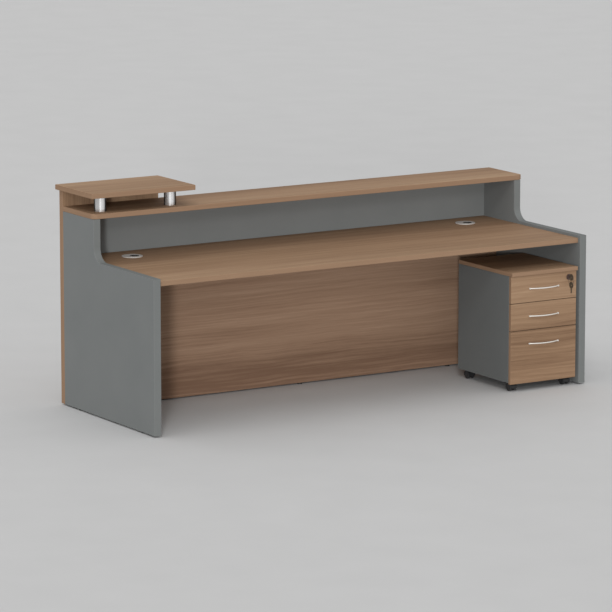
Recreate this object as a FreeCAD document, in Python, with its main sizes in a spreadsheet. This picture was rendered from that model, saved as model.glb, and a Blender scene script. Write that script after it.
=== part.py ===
import FreeCAD, Part
import Sketcher
import os
import re

# Reception desk with a raised counter and a mobile drawer pedestal.
# +X runs along the desk, +Y from the sitter to the visitor, +Z up from the floor.

# Driving sizes, in millimetres and degrees
SIZES = {
    # Panels of the desk
    "desk_length": 2500,
    "floor_clearance": 7,
    "end_thickness": 38,
    "end_depth": 900,
    "end_lip": 14,
    "end_step_depth": 588,
    "end_step_radius": 66,
    "worktop_height": 750,
    "worktop_thickness": 25,
    "worktop_setback": 18,
    "modesty_grommet_gap": 3,
    "modesty_thickness": 25,
    "back_thickness": 38,
    "counter_rise": 220,
    "shelf_thickness": 25,
    "shelf_recess": 4,
    "shelf_side_overhang": 17,
    "shelf_corner_radius": 28,
    "front_thickness": 36,
    "tall_front_width": 537,
    "raised_thickness": 25,
    "raised_front_overhang": 27,
    "raised_side_overhang": 20,
    "raised_back_overhang": 5,
    "edge_round": 2,
    # Posts under the raised top
    "post_diameter": 60,
    "post_wall": 2,
    "post_height": 80,
    "post_left_inset": 84,
    "post_right_inset": 64,
    "post_front_inset": 80,
    "post_plate_thickness": 4,
    "post_screw_diameter": 6,
    "post_screw_grip": 16,
    "post_screw_head_diameter": 11,
    "post_screw_head_height": 3,
    # Cable grommets in the worktop
    "grommet_left_inset": 277,
    "grommet_right_inset": 263,
    "grommet_back_inset": 158,
    "grommet_rim_width": 9,
    "grommet_ledge_height": 1.5,
    "grommet_sleeve_diameter": 80,
    "grommet_sleeve_wall": 2.5,
    "grommet_sleeve_reach": 3,
    "grommet_ledge_width": 5,
    "grommet_cap_thickness": 2.5,
    "grommet_skirt_depth": 10,
    "grommet_skirt_wall": 2,
    "grommet_slot_length": 46,
    "grommet_slot_width": 38,
    "grommet_slot_offset": 11,
    "grommet_cap_turn": -31,
    # Levelling feet
    "foot_diameter": 28,
    "foot_neck_diameter": 22,
    "foot_gap": 1,
    "foot_stem_diameter": 8,
    "foot_stem_reach": 26,
    "foot_socket_diameter": 13,
    "foot_socket_depth": 30,
    "foot_front_setback": 136,
    "foot_rear_inset": 136,
    "modesty_foot_inset": 332,
    "modesty_foot_spacing": 896,
    # Knock-down fittings and clearances
    "cam_diameter": 15,
    "cam_depth": 13,
    "cam_inset": 34,
    "cam_edge_inset": 80,
    "cam_driver_radius": 3,
    "cam_driver_depth": 3,
    "bolt_diameter": 7,
    "bolt_reach": 11,
    "dowel_diameter": 8,
    "dowel_reach": 14,
    "fit": 0.05,
    "turning_gap": 0.3,
    # Carcass of the pedestal
    "ped_width": 400,
    "ped_depth": 470,
    "ped_clearance": 115,
    "ped_setback": 5,
    "ped_side_gap": 16,
    "ped_board": 18,
    "ped_top_thickness": 20,
    "ped_top_front_overhang": 12,
    "ped_top_gap": 1,
    "ped_edge_round": 1,
    "ped_dowel_inset": 60,
    "ped_dowel_reach": 10,
    # Drawers
    "drawer_front_thickness": 18,
    "drawer_front_reveal": 1.5,
    "drawer_front_drop": 6,
    "drawer_gap": 3,
    "drawer_buffer": 2,
    "small_front_height": 137,
    "drawer_rear_gap": 24,
    "drawer_board": 12,
    "drawer_bottom": 6,
    "drawer_floor_gap": 6,
    "drawer_box_clearance": 5,
    "runner_room": 12.5,
    "runner_height": 35,
    "runner_sheet": 1.5,
    "runner_lift": 8,
    "runner_gap": 1.5,
    # Bow handles
    "handle_length": 180,
    "handle_reach": 26,
    "handle_bar_diameter": 6,
    "handle_foot_diameter": 8,
    "handle_foot_length": 6,
    "handle_drop": 68,
    "handle_screw_diameter": 4,
    "handle_screw_bite": 4,
    "handle_screw_head_diameter": 8,
    "handle_screw_head_height": 2.5,
    # Lock and keys
    "lock_side_inset": 48,
    "lock_drop": 30,
    "lock_rose_diameter": 30,
    "lock_rose_height": 3,
    "lock_case_diameter": 18,
    "lock_case_length": 36,
    "lock_plug_diameter": 12,
    "lock_cam_length": 26,
    "lock_cam_width": 12,
    "lock_cam_sheet": 2.5,
    "lock_cam_gap": 0.5,
    "strike_width": 30,
    "strike_sheet": 2,
    "strike_clearance": 4,
    "strike_gap": 1.5,
    "key_bow_diameter": 32,
    "key_bow_hole_diameter": 10,
    "key_bow_sheet": 3.4,
    "key_neck": 4,
    "key_blade_length": 20,
    "key_blade_height": 8,
    "key_blade_sheet": 2,
    "key_notch": 2,
    "key_notch_pitch": 6,
    "ring_diameter": 32,
    "ring_wire_diameter": 1.6,
    "ring_slack": 0.7,
    # Twin wheel castors
    "castor_headroom": 1.7,
    "castor_inset": 38,
    "castor_trail": 12,
    "castor_plate_side": 38,
    "castor_plate_sheet": 2.5,
    "castor_pin_diameter": 8,
    "castor_pin_length": 12,
    "castor_boss_diameter": 20,
    "castor_boss_depth": 15,
    "wheel_diameter": 40,
    "wheel_width": 12,
    "wheel_round": 3,
    "wheel_dish_depth": 1.5,
    "wheel_dish_diameter": 24,
    "axle_diameter": 6,
    "hood_web": 14,
    "hood_wheel_gap": 0.8,
    "hood_sheet": 2,
    "hood_axle_wall": 2,
}

# Named places and lengths that follow from the driving sizes
PLACES = {
    "left": "(raised_side_overhang - shelf_side_overhang - desk_length) / 2",
    "right": "left + desk_length",
    "inner_left": "left + end_thickness",
    "inner_right": "right - end_thickness",
    "inner_length": "desk_length - 2 * end_thickness",
    "key_reach": "lock_rose_height + key_neck + key_bow_diameter",
    "desk_depth": "end_depth + front_thickness + raised_back_overhang",
    "front": "(key_reach - ped_setback - desk_depth) / 2",
    "back": "front + end_depth",
    "worktop_front": "front + worktop_setback",
    "worktop_under": "worktop_height - worktop_thickness",
    "end_low_height": "worktop_height + end_lip",
    "shelf_under": "worktop_height + counter_rise",
    "shelf_height": "shelf_under + shelf_thickness",
    "shelf_front": "front + end_step_depth + shelf_recess",
    "raised_under": "shelf_height + post_height",
    "raised_front": "shelf_front - raised_front_overhang",
    "post_y": "shelf_front + post_front_inset",
    "back_front": "back - back_thickness",
    "tall_right": "left + tall_front_width",
    "grommet_y": "back_front - grommet_back_inset",
    "modesty_front": "grommet_y + grommet_sleeve_diameter / 2 + modesty_grommet_gap",
    "modesty_rear": "modesty_front + modesty_thickness",
    "sleeve_bore_radius": "grommet_sleeve_diameter / 2 - grommet_sleeve_wall",
    "recess_radius": "sleeve_bore_radius + grommet_ledge_width",
    "flange_height": "grommet_ledge_height + grommet_cap_thickness",
    "cap_radius": "recess_radius - turning_gap",
    "cap_under": "worktop_height + grommet_ledge_height",
    "skirt_radius": "sleeve_bore_radius - turning_gap",
    "modesty_mid": "modesty_front + modesty_thickness / 2",
    "foot_pad_height": "floor_clearance - foot_gap",
    "cam_radius": "cam_diameter / 2",
    "bolt_radius": "bolt_diameter / 2",
    "ped_right": "inner_right - ped_side_gap",
    "ped_left": "ped_right - ped_width",
    "ped_middle": "ped_left + ped_width / 2",
    "ped_face": "front + ped_setback",
    "ped_rear": "ped_face + ped_depth",
    "ped_carcass": "ped_face + drawer_front_thickness + drawer_buffer",
    "ped_carcass_depth": "ped_rear - ped_carcass",
    "ped_inner_left": "ped_left + ped_board",
    "ped_inner_right": "ped_right - ped_board",
    "ped_inner_width": "ped_width - 2 * ped_board",
    "ped_top_under": "worktop_under - ped_clearance - ped_top_thickness",
    "ped_side_height": "ped_top_under - castor_height",
    "drawer_front_back": "ped_face + drawer_front_thickness",
    "front_width": "ped_width - 2 * drawer_front_reveal",
    "front_low": "castor_height - drawer_front_drop",
    "fronts_top": "ped_top_under - ped_top_gap",
    "front_stack": "fronts_top - front_low",
    "large_front_height": "front_stack - 2 * (small_front_height + drawer_gap)",
    "box_left": "ped_inner_left + runner_room",
    "box_width": "ped_inner_width - 2 * runner_room",
    "drawer_depth": "ped_depth - drawer_front_thickness - ped_board - drawer_rear_gap",
    "drawer_lift": "drawer_front_drop + ped_board + drawer_floor_gap",
    "box_drop": "lock_drop + lock_case_diameter / 2 + drawer_box_clearance",
    "bow_rise": "handle_reach - handle_bar_diameter / 2",
    "bow_radius": "((handle_length / 2) ^ 2 + bow_rise ^ 2) / (2 * bow_rise)",
    "bow_centre": "ped_face + bow_radius - bow_rise",
    "handle_screw_x": "handle_length / 2 - handle_foot_diameter / 2",
    "lock_x": "ped_right - lock_side_inset",
    "lock_z": "fronts_top - lock_drop",
    "lock_case_end": "ped_face + lock_case_length",
    "lock_cam_front": "lock_case_end + lock_cam_gap",
    "strike_front": "drawer_front_back + strike_gap",
    "strike_rear": "lock_cam_front - strike_gap",
    "strike_low": "lock_z + lock_case_diameter / 2 + strike_clearance",
    "key_bow_radius": "key_bow_diameter / 2",
    "key_y": "ped_face - lock_rose_height - key_neck - key_bow_radius",
    "bow_bar": "(key_bow_diameter - key_bow_hole_diameter) / 4",
    "bow_bar_drop": "key_bow_radius - bow_bar",
    "ring_radius": "ring_diameter / 2",
    "ring_drop": "ring_radius - ring_wire_diameter / 2 - ring_slack - bow_bar",
    "ring_z": "lock_z - bow_bar_drop - ring_drop",
    "spare_key_z": "ring_z - ring_drop - bow_bar_drop",
    "wheel_radius": "wheel_diameter / 2",
    "hood_inner_radius": "wheel_radius + hood_wheel_gap",
    "hood_radius": "hood_inner_radius + hood_sheet",
    "wheel_start": "hood_web / 2 + turning_gap",
    "wheel_pair_half": "wheel_start + wheel_width",
    "castor_plate_under": "wheel_radius + hood_radius + castor_headroom",
    "castor_height": "castor_plate_under + castor_plate_sheet",
    "hood_lower_edge": "wheel_radius - axle_diameter / 2 - hood_axle_wall",
    "boss_top": "castor_plate_under - turning_gap",
}

# Turns that point a solid's own +Z along each direction
TURNS = {
    "+x": FreeCAD.Rotation(FreeCAD.Vector(0, 1, 0), 90),
    "-x": FreeCAD.Rotation(FreeCAD.Vector(0, 1, 0), -90),
    "+y": FreeCAD.Rotation(FreeCAD.Vector(1, 0, 0), -90),
    "-y": FreeCAD.Rotation(FreeCAD.Vector(1, 0, 0), 90),
    "+z": FreeCAD.Rotation(),
    "-z": FreeCAD.Rotation(FreeCAD.Vector(1, 0, 0), 180),
}

# How far off, in millimetres, an edge may be and still lie at a level
LEVEL_TOLERANCE = 1e-4

# Notches in the blade of each key
KEY_NOTCHES = 3

doc = FreeCAD.newDocument("ReceptionDesk")
sheet = doc.addObject("Spreadsheet::Sheet", "Sizes")
for row, (alias, size) in enumerate(SIZES.items(), start=1):
    sheet.set(f"A{row}", alias)
    sheet.set(f"B{row}", str(size))
    sheet.setAlias(f"B{row}", alias)
doc.recompute()

subparts = []


def formula(text):
    """Write named places out and point driving sizes at their cells."""
    def spell(match):
        word = match.group(0)
        if word in PLACES:
            return f"({formula(PLACES[word])})"
        if word in SIZES:
            return f"Sizes.{word}"
        return word
    return re.sub(r"[A-Za-z_]\w*", spell, str(text))


def bind(thing, **sizes):
    """Tie properties of an object to formulas on the sheet."""
    for name, text in sizes.items():
        thing.setExpression(name, formula(text))


def place(thing, point, direction="+z", turn=None):
    """Put an object at a point given as three formulas, pointing along a direction."""
    thing.Placement = FreeCAD.Placement(FreeCAD.Vector(), turn or TURNS[direction])
    for axis, text in zip("xyz", point):
        thing.setExpression(f".Placement.Base.{axis}", formula(text))


def shift(point, direction, distance):
    """Return a point moved along a direction, as formulas."""
    moved = list(point)
    axis = "xyz".index(direction[1])
    moved[axis] = f"({point[axis]}) {direction[0]} ({distance})"
    return tuple(moved)


def keep(label, thing):
    """Name an object as a finished sub-part."""
    thing.Label = label
    subparts.append(thing)
    return thing


def block(name, corner, size):
    """Rectangular solid with its low corner at a point."""
    solid = doc.addObject("Part::Box", name)
    bind(solid, Length=size[0], Width=size[1], Height=size[2])
    place(solid, corner)
    return solid


def cylinder(name, centre, direction, radius, height):
    """Round bar that starts at a point and runs along a direction."""
    solid = doc.addObject("Part::Cylinder", name)
    bind(solid, Radius=radius, Height=height)
    place(solid, centre, direction)
    return solid


def compound(name, members):
    """Several solids kept apart in one object."""
    bundle = doc.addObject("Part::Compound", name)
    bundle.Links = members
    return bundle


def fuse(name, members):
    """Several solids grown into one."""
    joined = doc.addObject("Part::MultiFuse", name)
    joined.Shapes = members
    return joined


def cut(name, base, tools):
    """A solid with other solids taken away from it."""
    left_over = doc.addObject("Part::Cut", name)
    left_over.Base = base
    left_over.Tool = tools[0] if len(tools) == 1 else compound(f"{name}_tools", tools)
    return left_over


class Board:
    """A piece made in a body of its own: a base form, rounded edges and drillings."""

    def __init__(self, label, corner):
        self.label = label
        self.corner = corner
        self.body = doc.addObject("PartDesign::Body", label)
        place(self.body, corner)

    def feature(self, kind, name):
        return self.body.newObject(f"PartDesign::{kind}", f"{self.label}_{name}")

    def local(self, point):
        return tuple(f"({whole}) - ({low})" for whole, low in zip(point, self.corner))

    def block(self, size):
        bind(self.feature("AdditiveBox", "block"), Length=size[0], Width=size[1], Height=size[2])
        doc.recompute()

    def pad_side_outline(self, outline, thickness):
        """Pad a closed outline of (depth, height) points across the board's thickness."""
        sketch = self.body.newObject("Sketcher::SketchObject", f"{self.label}_outline")
        sketch.AttachmentSupport = [(origin_plane(self.body, "YZ_Plane"), "")]
        sketch.MapMode = "FlatFace"
        draw_outline(sketch, outline)
        pad = self.feature("Pad", "pad")
        pad.Profile = sketch
        bind(pad, Length=thickness)
        doc.recompute()

    def round_edges(self, name, radius, wanted):
        """Round the edges of the form so far that a test picks."""
        base = self.body.Tip
        edges = [f"Edge{i}" for i, edge in enumerate(base.Shape.Edges, start=1) if wanted(edge)]
        fillet = self.feature("Fillet", name)
        fillet.Base = (base, edges)
        bind(fillet, Radius=radius)
        doc.recompute()

    def drill(self, centre, direction, radius, depth):
        """Drill a round hole from a point in the desk along a direction."""
        hole = self.feature("SubtractiveCylinder", "hole")
        bind(hole, Radius=radius, Height=depth)
        place(hole, self.local(centre), direction)


def origin_plane(body, role):
    """One of a body's own origin planes."""
    return next(plane for plane in body.Origin.OriginFeatures if plane.Role == role)


def draw_outline(sketch, outline):
    """Draw straight lines through points, each held by two named distances."""
    origin = (-1, 1)
    numbers = [[sheet.evalExpression(formula(text)) for text in point] for point in outline]
    corners = [FreeCAD.Vector(x, y, 0) for x, y in numbers]
    for start, end in zip(corners, corners[1:] + corners[:1]):
        sketch.addGeometry(Part.LineSegment(start, end), False)
    count = len(corners)
    for i in range(count):
        sketch.addConstraint(Sketcher.Constraint("Coincident", i, 2, (i + 1) % count, 1))
    for i, texts in enumerate(outline):
        for kind, text, number in zip(("DistanceX", "DistanceY"), texts, numbers[i]):
            index = sketch.addConstraint(Sketcher.Constraint(kind, *origin, i, 1, number))
            sketch.renameConstraint(index, f"{kind}_{i}")
            sketch.setExpression(f"Constraints.{kind}_{i}", formula(text))


def flat_board(label, corner, size, radius="edge_round"):
    """A rectangular board with every edge rounded."""
    board = Board(label, corner)
    board.block(size)
    board.round_edges("edges", radius, lambda edge: True)
    keep(label, board.body)
    return board


def lies_at(edge, axis, level):
    """Whether a whole edge lies at one level of an axis."""
    box = edge.BoundBox
    low = getattr(box, f"{axis}Min")
    high = getattr(box, f"{axis}Max")
    return abs(low - level) < LEVEL_TOLERANCE and abs(high - level) < LEVEL_TOLERANCE


def end_panel(label, x):
    """Grey end panel: deep and low in front, narrow and tall behind, with a swept inner corner."""
    low = "end_low_height - floor_clearance"
    high = "shelf_under - floor_clearance"
    outline = [
        ("0", "0"),
        ("end_depth", "0"),
        ("end_depth", high),
        ("end_step_depth", high),
        ("end_step_depth", low),
        ("0", low),
    ]
    panel = Board(label, (x, "front", "floor_clearance"))
    panel.pad_side_outline(outline, "end_thickness")
    step_depth = sheet.evalExpression(formula("end_step_depth"))
    step_level = sheet.evalExpression(formula(low))
    panel.round_edges(
        "sweep", "end_step_radius",
        lambda edge: lies_at(edge, "Y", step_depth) and lies_at(edge, "Z", step_level))
    thickness = sheet.evalExpression(formula("end_thickness"))
    panel.round_edges(
        "edges", "edge_round",
        lambda edge: lies_at(edge, "X", 0) or lies_at(edge, "X", thickness))
    keep(label, panel.body)
    return panel


def counter_shelf():
    """Long shelf on top of the end panels, past the right one, with large round front corners."""
    shelf = Board("counter_shelf", ("left", "shelf_front", "shelf_under"))
    shelf.block(
        ("desk_length + shelf_side_overhang", "back - shelf_front", "shelf_thickness"))
    shelf.round_edges(
        "corners", "shelf_corner_radius",
        lambda edge: lies_at(edge, "Y", 0) and edge.BoundBox.XLength < edge.BoundBox.ZLength)
    thickness = sheet.evalExpression(formula("shelf_thickness"))
    shelf.round_edges(
        "edges", "edge_round",
        lambda edge: lies_at(edge, "Z", 0) or lies_at(edge, "Z", thickness))
    keep("counter_shelf", shelf.body)
    return shelf


# Boards of the desk
left_end = end_panel("left_end_panel", "left")
right_end = end_panel("right_end_panel", "inner_right")
worktop = flat_board(
    "worktop",
    ("inner_left", "worktop_front", "worktop_under"),
    ("inner_length", "end_depth - worktop_setback", "worktop_thickness"))
modesty = flat_board(
    "modesty_panel",
    ("inner_left", "modesty_front", "floor_clearance"),
    ("inner_length", "modesty_thickness", "worktop_under - floor_clearance"))
upper_back = flat_board(
    "upper_back_panel",
    ("inner_left", "back_front", "worktop_height"),
    ("inner_length", "back_thickness", "shelf_under - worktop_height"))
shelf = counter_shelf()
tall_front = flat_board(
    "tall_front_panel",
    ("left", "back", "floor_clearance"),
    ("tall_front_width", "front_thickness", "raised_under - floor_clearance"))
front_panel = flat_board(
    "front_panel",
    ("tall_right", "back", "floor_clearance"),
    ("desk_length - tall_front_width", "front_thickness", "shelf_under - floor_clearance"))
raised_top = flat_board(
    "raised_top",
    ("left - raised_side_overhang", "raised_front", "raised_under"),
    ("tall_front_width + 2 * raised_side_overhang", "front + desk_depth - raised_front",
     "raised_thickness"))

# Knock-down fittings that pull the boards together
cams = []
bolts = []
dowels = []


def cam_joint(cam_board, bolt_board, mouth, inward, along, axis_depth):
    """A cam let into one board, and the bolt by which it draws another board up to its end."""
    cam_board.drill(mouth, inward, "cam_radius", "cam_depth")
    bolt_start = shift(mouth, inward, axis_depth)
    joint = shift(bolt_start, along, "cam_inset")
    cam_board.drill(bolt_start, along, "bolt_radius + fit", "cam_inset")
    bolt_board.drill(joint, along, "bolt_radius + fit", "bolt_reach")
    bolts.append(cylinder("cam_bolt", bolt_start, along, "bolt_radius", "cam_inset + bolt_reach"))
    wheel = cylinder("cam_blank", mouth, inward, "cam_radius - fit", "cam_depth")
    bolt_way = cylinder("cam_bolt_way", bolt_start, along, "bolt_radius + fit", "cam_diameter")
    driver = doc.addObject("Part::Prism", "cam_driver")
    bind(driver, Circumradius="cam_driver_radius", Height="cam_driver_depth")
    place(driver, mouth, inward)
    cams.append(cut("cam", wheel, [bolt_way, driver]))


def dowel_joint(first, second, joint, along, stock, reach="dowel_reach"):
    """A dowel half in each of two boards that meet at a joint."""
    start = shift(joint, along, f"-{reach}")
    first.drill(start, along, "dowel_diameter / 2", reach)
    second.drill(joint, along, "dowel_diameter / 2", reach)
    stock.append(cylinder("dowel", start, along, "dowel_diameter / 2 - fit", f"2 * {reach}"))


def insets(low, high, inset):
    """Two places, one inset from each end of a span."""
    return f"{low} + {inset}", f"{high} - {inset}"


for end, inner, along, inset in (
        (left_end, "inner_left", "-x", "inner_left + cam_inset"),
        (right_end, "inner_right", "+x", "inner_right - cam_inset")):
    for y in insets("worktop_front", "back", "cam_edge_inset"):
        cam_joint(worktop, end, (inset, y, "worktop_under"), "+z", along, "worktop_thickness / 2")
    for z in insets("floor_clearance", "worktop_under", "cam_edge_inset"):
        cam_joint(modesty, end, (inset, "modesty_rear", z), "-y", along, "modesty_thickness / 2")
    for z in insets("worktop_height", "shelf_under", "cam_edge_inset"):
        cam_joint(upper_back, end, (inset, "back", z), "-y", along, "back_thickness / 2")
    visitor_board = tall_front if end is left_end else front_panel
    for z in insets("floor_clearance", "worktop_under", "cam_edge_inset"):
        cam_joint(end, visitor_board, (inner, "back - cam_inset", z), along, "+y", "end_thickness / 2")
    middle = shift((inner, "0", "0"), along, "end_thickness / 2")[0]
    for y in insets("front + end_step_depth", "back", "cam_edge_inset"):
        dowel_joint(end, shelf, (middle, y, "shelf_under"), "+z", dowels)

for z in insets("floor_clearance", "shelf_under", "cam_edge_inset"):
    dowel_joint(tall_front, front_panel, ("tall_right", "back + front_thickness / 2", z), "+x", dowels)
for x in insets("left", "tall_right", "cam_edge_inset"):
    dowel_joint(tall_front, raised_top, (x, "back + front_thickness / 2", "raised_under"), "+z", dowels)

keep("cam_fittings", compound("cam_fittings", cams + bolts))
keep("desk_dowels", compound("desk_dowels", dowels))

# Posts that carry the front of the raised top
posts = []
plates = []
post_screws = []


def post_end(board, foot, away):
    """Plate inside one end of a post, and the screw that holds it to the board there."""
    toward = {"+z": "-z", "-z": "+z"}[away]
    screw_radius = "post_screw_diameter / 2"
    plate = cylinder(
        "post_plate_blank", foot, away, "post_diameter / 2 - post_wall - fit", "post_plate_thickness")
    screw_way = cylinder("post_plate_hole", foot, away, f"{screw_radius} + fit", "post_plate_thickness")
    plates.append(cut("post_plate", plate, [screw_way]))
    seat = shift(foot, away, "post_plate_thickness")
    head = cylinder(
        "post_screw_head", seat, away, "post_screw_head_diameter / 2", "post_screw_head_height")
    shank = cylinder(
        "post_screw_shank", seat, toward, screw_radius, "post_plate_thickness + post_screw_grip")
    post_screws.append(fuse("post_screw", [head, shank]))
    board.drill(foot, toward, f"{screw_radius} + fit", "post_screw_grip")


for x in ("left + post_left_inset", "tall_right - post_right_inset"):
    foot = (x, "post_y", "shelf_height")
    head = (x, "post_y", "raised_under")
    outside = cylinder("post_outside", foot, "+z", "post_diameter / 2", "post_height")
    inside = cylinder("post_inside", foot, "+z", "post_diameter / 2 - post_wall", "post_height")
    posts.append(cut("post", outside, [inside]))
    post_end(shelf, foot, "+z")
    post_end(raised_top, head, "-z")

keep("raised_posts", compound("raised_posts", posts))
keep("post_fixings", compound("post_fixings", plates + post_screws))

# Cable grommets
sleeves = []


def grommet_sleeve(x):
    """Flanged liner of a cable hole, with a ledge for the cap."""
    low = "worktop_under - grommet_sleeve_reach"
    seat = (x, "grommet_y", "worktop_height")
    flange = cylinder(
        "sleeve_flange", seat, "+z", "recess_radius + grommet_rim_width", "flange_height")
    tube = cylinder(
        "sleeve_tube", (x, "grommet_y", low), "+z",
        "grommet_sleeve_diameter / 2 - fit", f"worktop_height - ({low})")
    bore = cylinder(
        "sleeve_bore", (x, "grommet_y", low), "+z", "sleeve_bore_radius",
        f"worktop_height - ({low}) + flange_height")
    recess = cylinder(
        "sleeve_recess", (x, "grommet_y", "cap_under"), "+z",
        "recess_radius", "grommet_cap_thickness")
    return cut("sleeve", fuse("sleeve_blank", [flange, tube]), [bore, recess])


def grommet_cap(label, x):
    """Turning cap with a skirt below and a round-ended cable slot through it."""
    centre = (x, "grommet_y", "cap_under")
    skirt_low = (x, "grommet_y", "cap_under - grommet_skirt_depth")
    disc = cylinder(f"{label}_disc", centre, "+z", "cap_radius", "grommet_cap_thickness")
    skirt = cylinder(f"{label}_skirt", skirt_low, "+z", "skirt_radius", "grommet_skirt_depth")
    hollow = cylinder(
        f"{label}_hollow", skirt_low, "+z",
        "skirt_radius - grommet_skirt_wall", "grommet_skirt_depth")
    slot_straight = "grommet_slot_length - grommet_slot_width"
    tools = [hollow]
    for name, along in (("near", f"grommet_slot_offset - ({slot_straight}) / 2"),
                        ("far", f"grommet_slot_offset + ({slot_straight}) / 2")):
        turned = (f"{x} + ({along}) * cos(grommet_cap_turn * 1 deg)",
                  f"grommet_y + ({along}) * sin(grommet_cap_turn * 1 deg)",
                  "cap_under")
        tools.append(cylinder(
            f"{label}_slot_{name}", turned, "+z", "grommet_slot_width / 2", "grommet_cap_thickness"))
    middle = block(f"{label}_slot_middle", (x, "grommet_y", "cap_under"),
                   (slot_straight, "grommet_slot_width", "grommet_cap_thickness"))
    start = f"grommet_slot_offset - ({slot_straight}) / 2"
    side = "grommet_slot_width / 2"
    bind(middle, **{
        ".Placement.Base.x": f"{x} + ({start}) * cos(grommet_cap_turn * 1 deg)"
                             f" + {side} * sin(grommet_cap_turn * 1 deg)",
        ".Placement.Base.y": f"grommet_y + ({start}) * sin(grommet_cap_turn * 1 deg)"
                             f" - {side} * cos(grommet_cap_turn * 1 deg)",
        ".Placement.Rotation.Angle": "grommet_cap_turn * 1 deg",
    })
    tools.append(middle)
    keep(label, cut(label, fuse(f"{label}_blank", [disc, skirt]), tools))


for side, x in (("left", "left + grommet_left_inset"), ("right", "right - grommet_right_inset")):
    worktop.drill(
        (x, "grommet_y", "worktop_under"), "+z", "grommet_sleeve_diameter / 2", "worktop_thickness")
    sleeves.append(grommet_sleeve(x))
    grommet_cap(f"grommet_cap_{side}", x)

keep("grommet_sleeves", compound("grommet_sleeves", sleeves))

# Levelling feet and their threaded sockets
sockets = []


def levelling_foot(label, board, x, y):
    """A foot that screws into a socket in the underside of a board."""
    stem_radius = "foot_stem_diameter / 2"
    mouth = (x, y, "floor_clearance")
    board.drill(mouth, "+z", "foot_socket_diameter / 2", "foot_socket_depth")
    outside = cylinder("socket_blank", mouth, "+z", "foot_socket_diameter / 2 - fit", "foot_socket_depth")
    bore = cylinder("socket_bore", mouth, "+z", f"{stem_radius} + fit", "foot_socket_depth")
    sockets.append(cut("socket", outside, [bore]))
    pad = doc.addObject("Part::Cone", f"{label}_pad")
    bind(pad, Radius1="foot_diameter / 2", Radius2="foot_neck_diameter / 2", Height="foot_pad_height")
    place(pad, (x, y, "0"))
    stem = cylinder(
        f"{label}_stem", (x, y, "foot_pad_height"), "+z", stem_radius,
        "foot_gap + foot_stem_reach")
    keep(label, fuse(label, [pad, stem]))


for side, board, x in (("left", left_end, "left + end_thickness / 2"),
                       ("right", right_end, "right - end_thickness / 2")):
    levelling_foot(f"foot_{side}_front", board, x, "front + foot_front_setback")
    levelling_foot(f"foot_{side}_rear", board, x, "back - foot_rear_inset")
for step, side in enumerate(("right", "middle", "left")):
    x = f"right - modesty_foot_inset - {step} * modesty_foot_spacing"
    levelling_foot(f"foot_modesty_{side}", modesty, x, "modesty_mid")

keep("foot_sockets", compound("foot_sockets", sockets))

# Carcass of the pedestal
ped_sides = []
for side, x in (("left", "ped_left"), ("right", "ped_inner_right")):
    ped_sides.append(flat_board(
        f"pedestal_{side}_side", (x, "ped_carcass", "castor_height"),
        ("ped_board", "ped_carcass_depth", "ped_side_height"), "ped_edge_round"))
ped_base = flat_board(
    "pedestal_base", ("ped_inner_left", "ped_carcass", "castor_height"),
    ("ped_inner_width", "ped_carcass_depth", "ped_board"), "ped_edge_round")
ped_back = flat_board(
    "pedestal_back", ("ped_inner_left", "ped_rear - ped_board", "castor_height + ped_board"),
    ("ped_inner_width", "ped_board", "ped_side_height - ped_board"), "ped_edge_round")
ped_top = flat_board(
    "pedestal_top",
    ("ped_left", "ped_face - ped_top_front_overhang", "ped_top_under"),
    ("ped_width", "ped_depth + ped_top_front_overhang", "ped_top_thickness"))

ped_dowels = []
for board, inner, along in ((ped_sides[0], "ped_inner_left", "-x"),
                            (ped_sides[1], "ped_inner_right", "+x")):
    middle = shift((inner, "0", "0"), along, "ped_board / 2")[0]
    for y in insets("ped_carcass", "ped_rear", "ped_dowel_inset"):
        base_joint = (inner, y, "castor_height + ped_board / 2")
        dowel_joint(ped_base, board, base_joint, along, ped_dowels, "ped_dowel_reach")
        top_joint = (middle, y, "ped_top_under")
        dowel_joint(board, ped_top, top_joint, "+z", ped_dowels, "ped_dowel_reach")
keep("pedestal_dowels", compound("pedestal_dowels", ped_dowels))

# Drawers, from the top one down: the lower edge and height of each front
FRONTS = {
    "top_drawer": ("fronts_top - small_front_height", "small_front_height"),
    "middle_drawer": ("fronts_top - drawer_gap - 2 * small_front_height", "small_front_height"),
    "bottom_drawer": ("front_low", "large_front_height"),
}

cabinet_runners = []


def runner(name, wall, lip):
    """A folded runner: an upright wall and a lip."""
    return fuse(name, [block(f"{name}_wall", *wall), block(f"{name}_lip", *lip)])


def drawer_runners(drawer, low):
    """The pair of carcass runners, and the pair on the drawer that hang inside them."""
    z = f"{low} + drawer_lift + runner_lift"
    depth = "drawer_depth"
    lip = "runner_room - 2 * runner_sheet - runner_gap"
    moving = []
    for wall_x, lip_x, box_wall_x, box_lip_x in (
            ("ped_inner_left", "ped_inner_left + runner_sheet",
             "box_left - runner_sheet", f"box_left - runner_sheet - ({lip})"),
            ("ped_inner_right - runner_sheet", f"ped_inner_right - runner_sheet - ({lip})",
             "box_left + box_width", "box_left + box_width + runner_sheet")):
        cabinet_runners.append(runner(
            f"{drawer}_carcass_runner",
            ((wall_x, "ped_carcass", z), ("runner_sheet", depth, "runner_height")),
            ((lip_x, "ped_carcass", z), (lip, depth, "runner_sheet"))))
        inner_z = f"{z} + runner_sheet + runner_gap"
        inner_height = "runner_height - 2 * (runner_sheet + runner_gap)"
        moving.append(runner(
            f"{drawer}_runner",
            ((box_wall_x, "drawer_front_back", inner_z), ("runner_sheet", depth, inner_height)),
            ((box_lip_x, "drawer_front_back", f"{inner_z} + {inner_height} - runner_sheet"),
             (lip, depth, "runner_sheet"))))
    keep(f"{drawer}_runners", compound(f"{drawer}_runners", moving))


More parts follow.
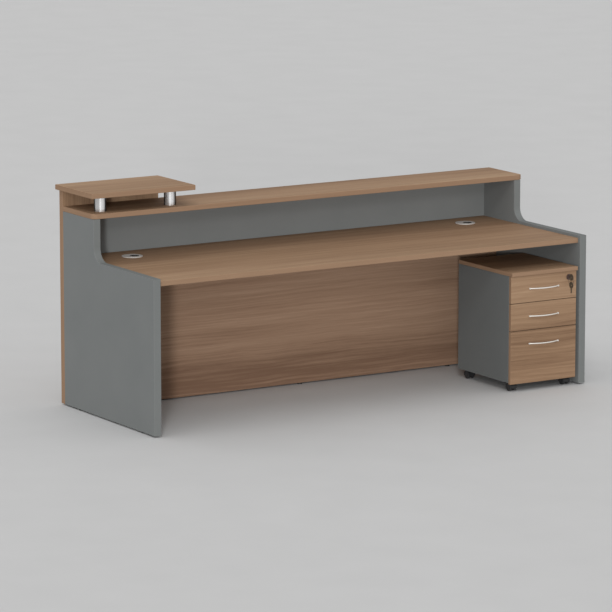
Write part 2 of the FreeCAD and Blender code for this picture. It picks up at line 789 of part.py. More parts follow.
def drawer_box(drawer, low, height):
    """Five boards: two sides, an inner front, a back and a bottom between them."""
    z = f"{low} + drawer_lift"
    box_height = f"{height} - drawer_lift - box_drop"
    inner_width = "box_width - 2 * drawer_board"
    inner_left = "box_left + drawer_board"
    y = "drawer_front_back"
    far = f"{y} + drawer_depth - drawer_board"
    side_size = ("drawer_board", "drawer_depth", box_height)
    end_size = (inner_width, "drawer_board", box_height)
    boards = [
        block(f"{drawer}_left_board", ("box_left", y, z), side_size),
        block(f"{drawer}_right_board", ("box_left + box_width - drawer_board", y, z), side_size),
        block(f"{drawer}_inner_front", (inner_left, y, z), end_size),
        block(f"{drawer}_rear_board", (inner_left, far, z), end_size),
        block(f"{drawer}_bottom_board", (inner_left, f"{y} + drawer_board", z),
              (inner_width, "drawer_depth - 2 * drawer_board", "drawer_bottom")),
    ]
    keep(f"{drawer}_box", compound(f"{drawer}_box", boards))


def bow_handle(drawer, front, z):
    """A bowed bar on two feet, flat against the drawer front, with its two screws."""
    bar = doc.addObject("Part::Torus", f"{drawer}_bow_ring")
    bind(bar, Radius1="bow_radius", Radius2="handle_bar_diameter / 2")
    place(bar, ("ped_middle", "bow_centre", z))
    reach = "handle_reach + handle_foot_diameter"
    window = block(
        f"{drawer}_bow_window",
        ("ped_middle - handle_length / 2", f"ped_face - ({reach})", f"{z} - handle_foot_diameter"),
        ("handle_length", reach, "2 * handle_foot_diameter"))
    bow = doc.addObject("Part::Common", f"{drawer}_bow")
    bow.Base = bar
    bow.Tool = window
    bodies = [bow]
    holes = []
    screws = []
    screw_radius = "handle_screw_diameter / 2"
    for sign in ("-", "+"):
        spot = (f"ped_middle {sign} handle_screw_x", "ped_face", z)
        bodies.append(cylinder(
            f"{drawer}_handle_foot", spot, "-y", "handle_foot_diameter / 2", "handle_foot_length"))
        holes.append(cylinder(
            f"{drawer}_handle_hole", spot, "-y", f"{screw_radius} + fit", "handle_screw_bite"))
        seat = shift(spot, "+y", "drawer_front_thickness")
        sunk = shift(seat, "-y", "handle_screw_head_height")
        head = cylinder(
            f"{drawer}_screw_head", sunk, "+y",
            "handle_screw_head_diameter / 2", "handle_screw_head_height")
        shank = cylinder(
            f"{drawer}_screw_shank", sunk, "-y", screw_radius,
            "drawer_front_thickness - handle_screw_head_height + handle_screw_bite")
        screws.append(fuse(f"{drawer}_screw", [head, shank]))
        front.drill(spot, "+y", f"{screw_radius} + fit", "drawer_front_thickness")
        front.drill(sunk, "+y", "handle_screw_head_diameter / 2 + fit", "handle_screw_head_height")
    keep(f"{drawer}_handle", cut(f"{drawer}_handle", fuse(f"{drawer}_handle_blank", bodies), holes))
    keep(f"{drawer}_handle_screws", compound(f"{drawer}_handle_screws", screws))


drawer_fronts = {}
for drawer, (low, height) in FRONTS.items():
    drawer_fronts[drawer] = flat_board(
        f"{drawer}_front", ("ped_left + drawer_front_reveal", "ped_face", low),
        ("front_width", "drawer_front_thickness", height), "ped_edge_round")
    drawer_box(drawer, low, height)
    drawer_runners(drawer, low)
    bow_handle(drawer, drawer_fronts[drawer], f"{low} + {height} - handle_drop")
keep("cabinet_runners", compound("cabinet_runners", cabinet_runners))

# Lock in the top drawer front
LOCK = ("lock_x", "ped_face", "lock_z")
ROSE = shift(LOCK, "-y", "lock_rose_height")
plug_length = "lock_rose_height + lock_case_length"

drawer_fronts["top_drawer"].drill(LOCK, "+y", "lock_case_diameter / 2 + fit", "drawer_front_thickness")
lock_blank = fuse("lock_blank", [
    cylinder("lock_rose", ROSE, "+y", "lock_rose_diameter / 2", "lock_rose_height"),
    cylinder("lock_barrel", LOCK, "+y", "lock_case_diameter / 2", "lock_case_length")])
lock_bore = cylinder("lock_bore", ROSE, "+y", "lock_plug_diameter / 2 + fit", plug_length)
keep("lock_case", cut("lock_case", lock_blank, [lock_bore]))

plug_round = cylinder(
    "plug_round", ROSE, "+y", "lock_plug_diameter / 2", f"{plug_length} + lock_cam_gap")
lock_cam = block(
    "lock_cam", ("lock_x - lock_cam_length", "lock_cam_front", "lock_z - lock_cam_width / 2"),
    ("lock_cam_length + lock_cam_width / 2", "lock_cam_sheet", "lock_cam_width"))
keyway = block(
    "keyway",
    ("lock_x - key_blade_sheet / 2 - fit", ROSE[1], "lock_z - key_blade_height / 2 - fit"),
    ("key_blade_sheet + 2 * fit", "key_blade_length + fit", "key_blade_height + 2 * fit"))
keep("lock_plug", cut("lock_plug", fuse("plug_blank", [plug_round, lock_cam]), [keyway]))

strike_drop = "ped_top_under - strike_low"
keep("lock_strike", fuse("lock_strike", [
    block("strike_leg", ("lock_x - strike_width / 2", "strike_rear - strike_sheet", "strike_low"),
          ("strike_width", "strike_sheet", strike_drop)),
    block("strike_foot",
          ("lock_x - strike_width / 2", "strike_front", "ped_top_under - strike_sheet"),
          ("strike_width", "strike_rear - strike_front", "strike_sheet"))]))


def key(label, bow_centre, turn):
    """A key whose blade points along its own +Y from a flat ring-shaped bow."""
    piece = Board(label, bow_centre)
    place(piece.body, bow_centre, turn=turn)
    bow = piece.feature("AdditiveCylinder", "bow")
    bind(bow, Radius="key_bow_radius", Height="key_bow_sheet")
    place(bow, ("-key_bow_sheet / 2", "0", "0"), "+x")
    blade = piece.feature("AdditiveBox", "blade")
    bind(blade, Length="key_blade_sheet", Height="key_blade_height",
         Width="bow_bar + key_neck + key_blade_length")
    place(blade, ("-key_blade_sheet / 2", "key_bow_radius - bow_bar", "-key_blade_height / 2"))
    hole = piece.feature("SubtractiveCylinder", "eye")
    bind(hole, Radius="key_bow_hole_diameter / 2", Height="key_bow_sheet")
    place(hole, ("-key_bow_sheet / 2", "0", "0"), "+x")
    for step in range(KEY_NOTCHES):
        notch = piece.feature("SubtractiveBox", "notch")
        bind(notch, Length="key_blade_sheet", Width="key_notch", Height="key_notch")
        along = f"key_bow_radius + key_neck + key_blade_length - ({step} + 1) * key_notch_pitch"
        place(notch, ("-key_blade_sheet / 2", along, "key_blade_height / 2 - key_notch"))
    return piece.body


BLADE_DOWN = FreeCAD.Rotation(FreeCAD.Vector(1, 0, 0), -90)
keep("key", key("key", ("lock_x", "key_y", "lock_z"), FreeCAD.Rotation()))
spare_key = key("spare_key", ("lock_x", "key_y", "spare_key_z"), BLADE_DOWN)
ring = doc.addObject("Part::Torus", "key_ring")
bind(ring, Radius1="ring_radius", Radius2="ring_wire_diameter / 2")
place(ring, ("lock_x", "key_y", "ring_z"), "+y")
keep("spare_key_on_ring", compound("spare_key_on_ring", [spare_key, ring]))

# Castors
castor_plates = []


def castor_hood(label, x, y, axle):
    """Swivelling hood: a web between the wheels, a cover over them and a boss for the pin."""
    start = shift(axle, "-x", "wheel_pair_half")
    cover = cylinder(f"{label}_cover", start, "+x", "hood_radius", "2 * wheel_pair_half")
    above = block(
        f"{label}_above",
        (f"{x} - wheel_pair_half", f"{axle[1]} - hood_radius", "hood_lower_edge"),
        ("2 * wheel_pair_half", "2 * hood_radius", "2 * hood_radius"))
    upper = doc.addObject("Part::Common", f"{label}_upper")
    upper.Base = cover
    upper.Tool = above
    boss = cylinder(
        f"{label}_boss", (x, y, "boss_top - castor_boss_depth"), "+z",
        "castor_boss_diameter / 2", "castor_boss_depth")
    tools = [
        cylinder(f"{label}_pin_bore", (x, y, "boss_top"), "-z",
                 "castor_pin_diameter / 2 + fit", "castor_pin_length"),
        cylinder(f"{label}_axle_bore", start, "+x", "axle_diameter / 2 + fit", "2 * wheel_pair_half"),
    ]
    for direction in ("-x", "+x"):
        tools.append(cylinder(
            f"{label}_wheel_room", shift(axle, direction, "hood_web / 2"), direction,
            "hood_inner_radius", "wheel_width + turning_gap"))
    keep(label, cut(label, fuse(f"{label}_blank", [upper, boss]), tools))


def castor_wheel(name, axle, direction):
    """One wheel: rounded tread, dished outer face and a bore for the axle."""
    wheel = doc.addObject("PartDesign::Body", name)
    place(wheel, shift(axle, direction, "wheel_start"), direction)
    disc = wheel.newObject("PartDesign::AdditiveCylinder", f"{name}_disc")
    bind(disc, Radius="wheel_radius", Height="wheel_width")
    doc.recompute()
    rims = [f"Edge{i}" for i, edge in enumerate(disc.Shape.Edges, start=1) if edge.isClosed()]
    tread = wheel.newObject("PartDesign::Fillet", f"{name}_tread")
    tread.Base = (disc, rims)
    bind(tread, Radius="wheel_round")
    doc.recompute()
    dish = wheel.newObject("PartDesign::SubtractiveCylinder", f"{name}_dish")
    bind(dish, Radius="wheel_dish_diameter / 2", Height="wheel_dish_depth")
    place(dish, ("0", "0", "wheel_width - wheel_dish_depth"))
    bore = wheel.newObject("PartDesign::SubtractiveCylinder", f"{name}_bore")
    bind(bore, Radius="axle_diameter / 2 + fit", Height="wheel_width")
    return wheel


for depth, y in (("front", "ped_carcass + castor_inset"), ("rear", "ped_rear - castor_inset")):
    for side, x in (("left", "ped_left + castor_inset"), ("right", "ped_right - castor_inset")):
        corner = f"{depth}_{side}"
        plate = block(
            "castor_plate_sheet",
            (f"{x} - castor_plate_side / 2", f"{y} - castor_plate_side / 2", "castor_plate_under"),
            ("castor_plate_side", "castor_plate_side", "castor_plate_sheet"))
        pin = cylinder(
            "castor_pin", (x, y, "castor_plate_under"), "-z",
            "castor_pin_diameter / 2", "castor_pin_length")
        castor_plates.append(fuse("castor_plate", [plate, pin]))
        axle = (x, f"{y} - castor_trail", "wheel_radius")
        castor_hood(f"castor_hood_{corner}", x, y, axle)
        axle_half = "wheel_pair_half - wheel_dish_depth"
        shaft = cylinder(
            f"castor_axle_{corner}", shift(axle, "-x", axle_half), "+x",
            "axle_diameter / 2", f"2 * ({axle_half})")
        wheels = [castor_wheel(f"wheel_{corner}_{direction[0]}", axle, direction)
                  for direction in ("-x", "+x")]
        keep(f"castor_wheels_{corner}", compound(f"castor_wheels_{corner}", wheels + [shaft]))

keep("castor_plates", compound("castor_plates", castor_plates))

# Build, prove that every object is sound, and write one file for each sub-part
doc.recompute()
for thing in doc.Objects:
    if "Invalid" in thing.State or "Error" in thing.State:
        raise RuntimeError(f"{thing.Label} failed: {thing.State}")
for piece in subparts:
    if piece.Shape.isNull() or not piece.Shape.isValid() or not piece.Shape.Solids:
        raise RuntimeError(f"{piece.Label} has no valid solid")

os.makedirs("parts", exist_ok=True)
for piece in subparts:
    piece.Shape.exportStep(f"parts/{piece.Label}.step")
print(len(subparts), "sub-parts written")
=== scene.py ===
import math

import bpy
from mathutils import Euler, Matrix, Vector

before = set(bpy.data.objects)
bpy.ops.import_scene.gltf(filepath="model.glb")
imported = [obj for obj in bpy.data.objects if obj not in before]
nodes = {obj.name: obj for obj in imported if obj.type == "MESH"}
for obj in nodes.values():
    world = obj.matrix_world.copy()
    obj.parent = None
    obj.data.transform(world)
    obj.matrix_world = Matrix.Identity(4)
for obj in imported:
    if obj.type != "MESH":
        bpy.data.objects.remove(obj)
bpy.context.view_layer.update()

AXES = "xyz"
DRAWERS = ("top_drawer", "middle_drawer", "bottom_drawer")
CORNERS = ("front_left", "front_right", "rear_left", "rear_right")
# How far a face may lean, as a share of its normal, and still count as facing an axis
FACING = 0.7
# The middle of values that run from 0 to 1
MIDDLE = 0.5
# Tints of the boards, as shares of red, green and blue
PLAIN = (1.0, 1.0, 1.0)
PINKER = (1.0, 1.0, 1.04)
# Painted light: a lighter copy of the grey, for the back panel that sits in the shelf's shade
PAINTED_LIGHT_TINT = (1.06, 1.06, 1.06)
# Painted shade: a darker copy of the grey, for the pedestal boards
PAINTED_SHADE_TINT = (0.88, 0.88, 0.88)


def srgb(red, green, blue):
    """A colour given as screen values from 0 to 255, as the shaders' own linear values."""
    def linear(value):
        share = value / 255
        return share / 12.92 if share <= 0.04045 else ((share + 0.055) / 1.055) ** 2.4
    return (linear(red), linear(green), linear(blue), 1.0)


def tinted(tint, *tones):
    """A colour given as screen values, each of them times its share of a tint."""
    return srgb(*(tone * share for tone, share in zip(tones, tint)))


class Shader:
    """A material's node tree, with short calls for the nodes that the finishes need."""

    def __init__(self, name):
        self.material = bpy.data.materials.new(name)
        self.material.use_nodes = True
        self.tree = self.material.node_tree
        self.surface = self.tree.nodes["Principled BSDF"]
        self.place = self.tree.nodes.new("ShaderNodeTexCoord")

    def add(self, kind, **settings):
        node = self.tree.nodes.new(kind)
        for name, value in settings.items():
            setattr(node, name, value)
        return node

    def feed(self, socket, source):
        """Link an output to a socket, or set a plain value on it."""
        if isinstance(source, bpy.types.NodeSocket):
            self.tree.links.new(source, socket)
        else:
            socket.default_value = source

    def sum(self, operation, first, second=0.0):
        """The result of one of Blender's operations on two values."""
        node = self.add("ShaderNodeMath", operation=operation)
        self.feed(node.inputs[0], first)
        self.feed(node.inputs[1], second)
        return node.outputs[0]

    def split(self, vector):
        """A vector's parts, by the names of the axes."""
        node = self.add("ShaderNodeSeparateXYZ")
        self.feed(node.inputs[0], vector)
        return dict(zip(AXES, node.outputs))

    def join(self, parts):
        """A vector made of three parts."""
        node = self.add("ShaderNodeCombineXYZ")
        for socket, part in zip(node.inputs, parts):
            self.feed(socket, part)
        return node.outputs[0]

    def mix(self, share, first, second, kind="RGBA"):
        """The first source where the share is 0, and the second where it is 1."""
        node = self.add("ShaderNodeMix", data_type=kind)
        sockets = [socket for socket in node.inputs if socket.enabled]
        for socket, source in zip(sockets, (share, first, second)):
            self.feed(socket, source)
        return next(socket for socket in node.outputs if socket.enabled)

    def noise(self, vector, scale, seed=0.0, detail=3.0, roughness=0.5):
        """Cloudy values from 0 to 1, stretched by a scale for each axis."""
        stretch = self.add("ShaderNodeMapping")
        self.feed(stretch.inputs["Vector"], vector)
        stretch.inputs["Scale"].default_value = scale
        cloud = self.add("ShaderNodeTexNoise", noise_dimensions="4D")
        self.feed(cloud.inputs["Vector"], stretch.outputs[0])
        cloud.inputs["W"].default_value = seed
        cloud.inputs["Scale"].default_value = 1.0
        cloud.inputs["Detail"].default_value = detail
        cloud.inputs["Roughness"].default_value = roughness
        return cloud.outputs[0]

    def swing(self, value, amount):
        """A value from 0 to 1 turned into one that swings about nought."""
        centred = self.sum("SUBTRACT", value, MIDDLE)
        return self.sum("MULTIPLY", centred, amount)

    def ramp(self, value, stops):
        """Colours along a value, given as (position, colour) stops."""
        node = self.add("ShaderNodeValToRGB")
        self.feed(node.inputs[0], value)
        band = node.color_ramp
        for element, (position, colour) in zip(band.elements, (stops[0], stops[-1])):
            element.position = position
            element.color = colour
        for position, colour in stops[1:-1]:
            band.elements.new(position).color = colour
        return node.outputs[0]

    def tones(self, value, stops, tint=PLAIN):
        """Colours along a value, given as (position, screen values) stops, all of them tinted."""
        return self.ramp(value, [(position, tinted(tint, *tone)) for position, tone in stops])

    def spread(self, value, low, high):
        """A value from 0 to 1 turned into one from low to high."""
        node = self.add("ShaderNodeMapRange")
        self.feed(node.inputs["Value"], value)
        node.inputs["To Min"].default_value = low
        node.inputs["To Max"].default_value = high
        return node.outputs[0]

    def fade(self, value, near, far):
        """1 up to a near value, falling softly to 0 at a far one."""
        node = self.add("ShaderNodeMapRange", interpolation_type="SMOOTHSTEP")
        self.feed(node.inputs["Value"], value)
        node.inputs["From Min"].default_value = near
        node.inputs["From Max"].default_value = far
        node.inputs["To Min"].default_value = 1.0
        node.inputs["To Max"].default_value = 0.0
        return node.outputs[0]

    def bump(self, height, strength, distance):
        node = self.add("ShaderNodeBump")
        self.feed(node.inputs["Height"], height)
        node.inputs["Strength"].default_value = strength
        node.inputs["Distance"].default_value = distance
        self.feed(self.surface.inputs["Normal"], node.outputs[0])

    def finish(self, **sockets):
        """Set or link the surface's own sockets, named with underscores for spaces."""
        for name, source in sockets.items():
            self.feed(self.surface.inputs[name.replace("_", " ")], source)
        return self.material

    def facing(self, axis):
        """1 where the surface faces along an axis, either way, and 0 elsewhere."""
        normal = self.split(self.place.outputs["Normal"])
        return self.sum("GREATER_THAN", self.sum("ABSOLUTE", normal[axis]), FACING)


# Melamine boards: how much they shine, and their roughness at its least and most
BOARD_SHEEN = 0.04
BOARD_ROUGHNESS = (0.6, 0.74)

# Walnut: waves a metre along, across and into the grain, for each layer of its pattern
WAVE_SCALE = (2.2, 9, 9)
FIGURE_SCALE = (0.2, 3.2, 3.2)
BAND_SCALE = (0.7, 22, 22)
STREAK_SCALE = (1.6, 95, 95)
PORE_SCALE = (14, 900, 900)
DRIFT_SCALE = (0.9, 2.2, 2.2)
# What each layer adds to a board's seed
STREAK_SEED = 7
PORE_SEED = 13
DRIFT_SEED = 21
FIGURE_SEED = 29
# How rough the noise of the two finest layers is
STREAK_NOISE = 0.65
PORE_NOISE = 0.6
# How far the waves bend the grain, in metres, and how much each layer changes the tone
WAVE_REACH = 0.03
FIGURE_SWING = 1.0
BAND_SWING = 0.55
STREAK_SWING = 1.0
PORE_SWING = 0.45
# How much the painted shade low down darkens the tone
PAINTED_LOW_SHADE_DEPTH = 0.26
# The largest share of the redder brown
DRIFT_SHARE = 0.16
# Strength and depth in metres of the pores
PORE_BUMP = (0.12, 0.0003)
# Browns along the tone, for a board's faces and for its edge band
WALNUT_FACE = [(0.1, (113, 89, 69)), (0.42, (141, 115, 91)), (0.6, (150, 124, 99)), (0.95, (171, 144, 117))]
WALNUT_BAND = [(0.1, (133, 107, 86)), (0.95, (149, 122, 99))]
WALNUT_RED = (150, 112, 92)


def walnut(name, grain, thin, seed, tint, low_shade=None):
    """Walnut melamine: a broad figure, wavy streaks, short pores and a plainer band on the edges.

    The low shade is painted shade: a darker band across the grain, full up to one place and gone at another.
    """
    shader = Shader(name)
    across = next(axis for axis in AXES if axis not in (grain, thin))
    at = shader.split(shader.place.outputs["Object"])
    on_faces = shader.join((at[grain], at[across], at[thin]))
    on_ends = shader.join((at[across], at[grain], at[thin]))
    run = shader.mix(shader.facing(grain), on_faces, on_ends, kind="VECTOR")
    edge = shader.sum("SUBTRACT", 1.0, shader.facing(thin))

    along = shader.split(run)
    waves = shader.swing(shader.noise(run, WAVE_SCALE, seed, detail=2), WAVE_REACH)
    across_grain = shader.sum("ADD", along["y"], waves)
    wavy = shader.join((along["x"], across_grain, along["z"]))

    figure = shader.noise(wavy, FIGURE_SCALE, seed + FIGURE_SEED, detail=1)
    bands = shader.noise(wavy, BAND_SCALE, seed, detail=2)
    streaks = shader.noise(wavy, STREAK_SCALE, seed + STREAK_SEED, detail=4, roughness=STREAK_NOISE)
    pores = shader.noise(wavy, PORE_SCALE, seed + PORE_SEED, detail=3, roughness=PORE_NOISE)
    coarse = shader.sum("ADD", shader.swing(bands, BAND_SWING), shader.swing(streaks, STREAK_SWING))
    fine = shader.sum("ADD", shader.swing(pores, PORE_SWING), MIDDLE)
    grained = shader.sum("ADD", coarse, fine)
    tone = shader.sum("ADD", grained, shader.swing(figure, FIGURE_SWING))
    # Painted shade, darker low down across the grain
    if low_shade:
        darkening = shader.sum("MULTIPLY", shader.fade(across_grain, *low_shade), PAINTED_LOW_SHADE_DEPTH)
        tone = shader.sum("SUBTRACT", tone, darkening)

    face = shader.tones(tone, WALNUT_FACE, tint)
    band = shader.tones(grained, WALNUT_BAND, tint)
    drift = shader.noise(run, DRIFT_SCALE, seed + DRIFT_SEED, detail=1)
    redder = shader.mix(shader.spread(drift, 0.0, DRIFT_SHARE), face, tinted(tint, *WALNUT_RED))
    shader.bump(pores, *PORE_BUMP)
    return shader.finish(
        Base_Color=shader.mix(edge, redder, band),
        Roughness=shader.spread(pores, *BOARD_ROUGHNESS),
        Specular_IOR_Level=BOARD_SHEEN)


# Grey laminate: waves a metre of its clouds and of its pearl, and how much the clouds change the tone
GREY_CLOUD_SCALE = (5, 5, 5)
PEARL_SCALE = (620, 620, 620)
PEARL_SEED = 3
GREY_CLOUD_SWING = 0.5
# Strength and depth in metres of the pearl
PEARL_BUMP = (0.15, 0.0002)
# Greys along the tone, for a board's faces and for its edge band
GREY_FACE = [(0.15, (108, 111, 111)), (0.85, (120, 122, 121))]
GREY_BAND = [(0.15, (105, 108, 107)), (0.85, (115, 117, 116))]


def grey_laminate(name, thin, tint, seed):
    """Matt grey melamine with a fine pearl texture and a slightly darker edge band."""
    shader = Shader(name)
    place = shader.place.outputs["Object"]
    cloud = shader.noise(place, GREY_CLOUD_SCALE, seed, detail=3)
    pearl = shader.noise(place, PEARL_SCALE, seed + PEARL_SEED, detail=2)
    tone = shader.sum("ADD", shader.swing(cloud, GREY_CLOUD_SWING), pearl)
    face = shader.tones(tone, GREY_FACE, tint)
    band = shader.tones(tone, GREY_BAND, tint)
    shader.bump(pearl, *PEARL_BUMP)
    return shader.finish(
        Base_Color=shader.mix(shader.facing(thin), band, face),
        Roughness=shader.spread(pearl, *BOARD_ROUGHNESS),
        Specular_IOR_Level=BOARD_SHEEN)


# Plastic, metal and small wood: waves a metre of the finest speckle, and how rough its noise is
FINE = (700, 700, 700)
SPECKLE_NOISE = 0.6
# Strength and depth in metres of the speckle
SPECKLE_BUMP = (0.1, 0.0002)
# Where along the speckle the darker colour ends and the lighter one begins
SPECKLE_DARK = 0.25
SPECKLE_LIGHT = 0.75


def speckled(name, dark, light, rough, scale=FINE, metal=0.0):
    """A plain finish with a fine cloudy texture: plastics, plated steel and painted metal."""
    shader = Shader(name)
    cloud = shader.noise(shader.place.outputs["Object"], scale, detail=4, roughness=SPECKLE_NOISE)
    shader.bump(cloud, *SPECKLE_BUMP)
    return shader.finish(
        Base_Color=shader.tones(cloud, [(SPECKLE_DARK, dark), (SPECKLE_LIGHT, light)]),
        Roughness=shader.spread(cloud, *rough),
        Metallic=metal)


# Chrome posts: waves a metre of their slight unevenness, and how far it shifts the painted reflection bands,
# as shares of a turn
CHROME_SCALE = (40, 40, 8)
CHROME_SHIFT = 0.004
CHROME_ROUGHNESS = (0.18, 0.26)
CHROME_METAL = 0.75
# The front of the posts as they are seen, and the tones by degrees from it: painted reflections, dark and
# bright bands fixed on the tube
POST_FRONT = (-0.523, -0.852)
POST_PAINTED_REFLECTIONS = [
    (-180, 0.9), (-100, 0.6), (-90, 0.04), (-56, 0.04), (-48, 0.6), (0, 0.62), (7, 0.95),
    (31, 0.95), (37, 0.66), (46, 0.6), (53, 0.04), (90, 0.04), (100, 0.6), (180, 0.9),
]


def chrome_with_painted_reflections(name, front, bands):
    """Polished chrome on an upright tube, with painted reflections: dark and bright bands given by degrees
    from its front.
    """
    shader = Shader(name)
    normal = shader.split(shader.place.outputs["Normal"])

    def lean(x, y):
        return shader.sum(
            "ADD", shader.sum("MULTIPLY", normal["x"], x), shader.sum("MULTIPLY", normal["y"], y))

    right = (-front[1], front[0])
    turn = shader.sum("ARCTAN2", lean(*right), lean(*front))
    share = shader.sum("DIVIDE", turn, 2 * math.pi)
    cloud = shader.noise(shader.place.outputs["Object"], CHROME_SCALE, detail=2)
    middle = shader.spread(cloud, MIDDLE - CHROME_SHIFT, MIDDLE + CHROME_SHIFT)
    around = shader.sum("ADD", share, middle)
    # Painted reflections: the tones go into the base colour by the way the surface faces
    stops = [(MIDDLE + degrees / 360, (tone, tone, tone, 1.0)) for degrees, tone in bands]
    return shader.finish(
        Base_Color=shader.ramp(around, stops),
        Roughness=shader.spread(cloud, *CHROME_ROUGHNESS),
        Metallic=CHROME_METAL)


# Grommets: the colours of their silver plastic, and the black painted shade inside their holes
GROMMET_SILVER = [(SPECKLE_DARK, (180, 175, 170)), (SPECKLE_LIGHT, (196, 191, 186))]
GROMMET_PAINTED_SHADE = [(SPECKLE_DARK, (14, 13, 12)), (SPECKLE_LIGHT, (22, 21, 20))]
GROMMET_ROUGHNESS = (0.34, 0.44)


def grommet_plastic_with_painted_shade(name, rim, paint_walls_shaded):
    """Silver plastic with painted shade: black below the height of its rim, and on its walls if they are to
    be shaded.
    """
    shader = Shader(name)
    place = shader.place.outputs["Object"]
    cloud = shader.noise(place, FINE, detail=4, roughness=SPECKLE_NOISE)
    # Painted shade: black below the rim, where the hole lies in shade
    painted_shade_mask = shader.sum("LESS_THAN", shader.split(place)["z"], rim)
    if paint_walls_shaded:
        walls = shader.sum("SUBTRACT", 1.0, shader.facing("z"))
        painted_shade_mask = shader.sum("MAXIMUM", painted_shade_mask, walls)
    silver = shader.tones(cloud, GROMMET_SILVER)
    painted_shade = shader.tones(cloud, GROMMET_PAINTED_SHADE)
    return shader.finish(
        Base_Color=shader.mix(painted_shade_mask, silver, painted_shade),
        Roughness=shader.spread(cloud, *GROMMET_ROUGHNESS))


def dress(material, *names):
    """Give a finish to nodes of the frame."""
    for name in names:
        mesh = nodes[name].data
        mesh.materials.clear()
        mesh.materials.append(material)


# Wood boards: the axis that the grain follows, the thin axis, a seed and a tint
WALNUT_BOARDS = {
    "worktop": ("x", "z", 1, PLAIN),
    "modesty_panel": ("x", "y", 11, PINKER),
    "counter_shelf": ("x", "z", 3, PLAIN),
    "tall_front_panel": ("z", "y", 4, PLAIN),
    "front_panel": ("x", "y", 5, PLAIN),
    "raised_top": ("x", "z", 6, PLAIN),
    "pedestal_top": ("x", "z", 7, PLAIN),
}
# Painted shade low on the modesty panel and on the drawer fronts, full up to one height and gone at another,
# in metres
PAINTED_LOW_SHADES = {"modesty_panel": (0.1, 0.28)}
DRAWER_PAINTED_LOW_SHADE = (0.26, 0.45)
DRAWER_FRONT_SEED = 8

for board, (grain, thin, seed, tint) in WALNUT_BOARDS.items():
    dress(walnut(f"walnut_{board}", grain, thin, seed, tint, PAINTED_LOW_SHADES.get(board)), board)
drawer_walnut_with_painted_shade = walnut("walnut_drawer_fronts_painted_shade", "x", "y", DRAWER_FRONT_SEED, PLAIN, DRAWER_PAINTED_LOW_SHADE)
dress(drawer_walnut_with_painted_shade, *(f"{drawer}_front" for drawer in DRAWERS))

# Grey boards: the thin axis and a tint; the upper back panel gets painted light and the pedestal boards
# painted shade
GREY_BOARDS = {
    "left_end_panel": ("x", PLAIN),
    "right_end_panel": ("x", PLAIN),
    "upper_back_panel": ("y", PAINTED_LIGHT_TINT),
    "pedestal_left_side": ("x", PAINTED_SHADE_TINT),
    "pedestal_right_side": ("x", PAINTED_SHADE_TINT),
    "pedestal_base": ("z", PAINTED_SHADE_TINT),
    "pedestal_back": ("y", PAINTED_SHADE_TINT),
}

for seed, (board, (thin, tint)) in enumerate(GREY_BOARDS.items(), start=1):
    dress(grey_laminate(f"grey_{board}", thin, tint, seed), board)

# Metal
# The posts' chrome carries painted reflections
dress(chrome_with_painted_reflections("chrome", POST_FRONT, POST_PAINTED_REFLECTIONS), "raised_posts")
nickel = speckled(
    "satin_nickel", dark=(226, 222, 216), light=(236, 232, 227), rough=(0.3, 0.4),
    scale=(90, 900, 900), metal=0.5)
dress(nickel, *(f"{drawer}_handle" for drawer in DRAWERS))
zinc = speckled(
    "zinc_steel", dark=(176, 178, 182), light=(203, 205, 208), rough=(0.28, 0.42),
    scale=(240, 240, 240), metal=1.0)
dress(zinc, "post_fixings", "cam_fittings", "foot_sockets", "cabinet_runners", "lock_strike", "castor_plates")
dress(zinc, *(f"{drawer}_runners" for drawer in DRAWERS))
dress(zinc, *(f"{drawer}_handle_screws" for drawer in DRAWERS))
lock_metal = speckled("lock_metal", dark=(80, 63, 59), light=(96, 77, 72), rough=(0.3, 0.42), metal=0.4)
dress(lock_metal, "lock_case", "lock_plug")
key_metal = speckled("key_metal", dark=(68, 59, 48), light=(84, 74, 61), rough=(0.35, 0.5), metal=0.2)
dress(key_metal, "key", "spare_key_on_ring")

# Plastic, with the heights of the grommets' rims over the worktop in metres, below which the grommets are
# painted black as shade
SLEEVE_RISE = 0.0005
CAP_RISE = 0.0017
worktop_height = max(corner[2] for corner in nodes["worktop"].bound_box)
dress(grommet_plastic_with_painted_shade("silver_sleeve_painted_shade", worktop_height + SLEEVE_RISE, False), "grommet_sleeves")
cap_plastic_with_painted_shade = grommet_plastic_with_painted_shade("silver_cap_painted_shade", worktop_height + CAP_RISE, True)
dress(cap_plastic_with_painted_shade, "grommet_cap_left", "grommet_cap_right")
black = speckled("black_plastic", dark=(24, 24, 25), light=(38, 38, 39), rough=(0.42, 0.58))
feet = [name for name in nodes if name.startswith("foot_") and name != "foot_sockets"]
dress(black, *feet)
dress(black, *(f"castor_hood_{corner}" for corner in CORNERS))
tread = speckled("castor_tread", dark=(33, 33, 34), light=(47, 47, 48), rough=(0.5, 0.66))
dress(tread, *(f"castor_wheels_{corner}" for corner in CORNERS))

# Dowels and drawer boxes
beech = speckled(
    "beech", dark=(190, 158, 118), light=(212, 184, 146), rough=(0.55, 0.7), scale=(60, 400, 400))
dress(beech, "desk_dowels", "pedestal_dowels")
pale_board = speckled("drawer_board", dark=(178, 178, 176), light=(192, 192, 190), rough=(0.45, 0.58))
dress(pale_board, *(f"{drawer}_box" for drawer in DRAWERS))

# Floor
FLOOR_SIDE = 180.0
DUST_SCALE = (3, 3, 3)
FLOOR_TONES = [(0.3, (192, 192, 192)), (0.7, (195, 195, 195))]
FLOOR_ROUGHNESS = 0.75
FLOOR_SHEEN = 0.2

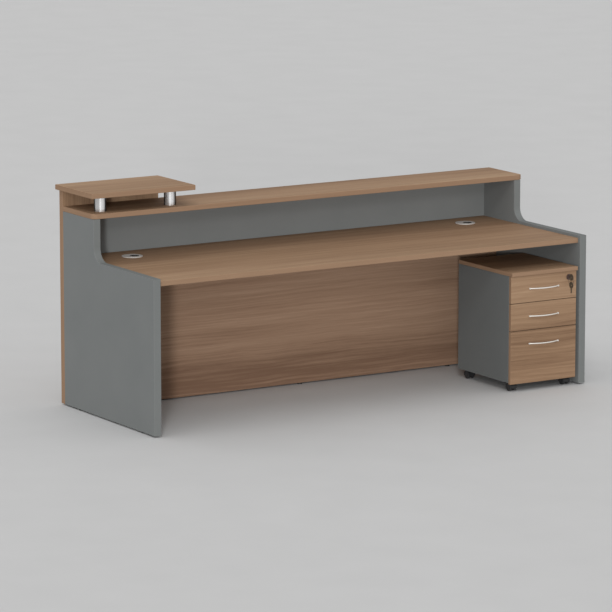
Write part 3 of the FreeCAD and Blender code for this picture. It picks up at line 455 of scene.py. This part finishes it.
bpy.ops.mesh.primitive_plane_add(size=FLOOR_SIDE)
floor = bpy.context.object
floor.name = "floor"
paint = Shader("pale_floor")
dust = paint.noise(paint.place.outputs["Object"], DUST_SCALE, detail=4)
floor.data.materials.append(paint.finish(
    Base_Color=paint.tones(dust, FLOOR_TONES),
    Roughness=FLOOR_ROUGHNESS,
    Specular_IOR_Level=FLOOR_SHEEN))

# Light: an even sky, three lamps on the viewer's side that reach under the boards, and one overhead
SKY_STRENGTH = 0.72
# Strength, then azimuth from straight ahead, elevation and softness in degrees
LAMPS = {
    "level_lamp": (1.2, -33.5, 6, 4),
    "low_lamp": (0.32, -33.5, 18, 8),
    "high_lamp": (0.45, -33.5, 40, 12),
    "overhead_lamp": (0.4, -60, 75, 50),
}

world = bpy.data.worlds.new("studio")
bpy.context.scene.world = world
world.use_nodes = True
sky = world.node_tree.nodes["Background"]
sky.inputs["Color"].default_value = (1.0, 1.0, 1.0, 1.0)
sky.inputs["Strength"].default_value = SKY_STRENGTH

for name, (strength, azimuth, elevation, softness) in LAMPS.items():
    light = bpy.data.lights.new(name, "SUN")
    light.energy = strength
    light.angle = math.radians(softness)
    lamp = bpy.data.objects.new(name, light)
    bpy.context.scene.collection.objects.link(lamp)
    level = math.cos(math.radians(elevation))
    toward_lamp = Vector((
        math.sin(math.radians(azimuth)) * level,
        -math.cos(math.radians(azimuth)) * level,
        math.sin(math.radians(elevation))))
    lamp.rotation_euler = toward_lamp.to_track_quat("Z", "Y").to_euler()

# Camera, standing where the photograph was taken from, in metres, degrees and lens millimetres
CAMERA_PLACE = Vector((-10.493, -16.876, 4.058))
CAMERA_YAW = math.radians(31.561)
CAMERA_PITCH = math.radians(10.292)
CAMERA_LENS = 238.44
CAMERA_SENSOR = 36.0
CAMERA_REACH = 400.0

lens = bpy.data.cameras.new("camera")
lens.lens = CAMERA_LENS
lens.sensor_width = CAMERA_SENSOR
lens.clip_end = CAMERA_REACH
camera = bpy.data.objects.new("camera", lens)
bpy.context.scene.collection.objects.link(camera)
camera.location = CAMERA_PLACE
camera.rotation_euler = Euler((math.pi / 2 - CAMERA_PITCH, 0, -CAMERA_YAW))
bpy.context.scene.camera = camera
bpy.context.scene.view_settings.view_transform = "Standard"
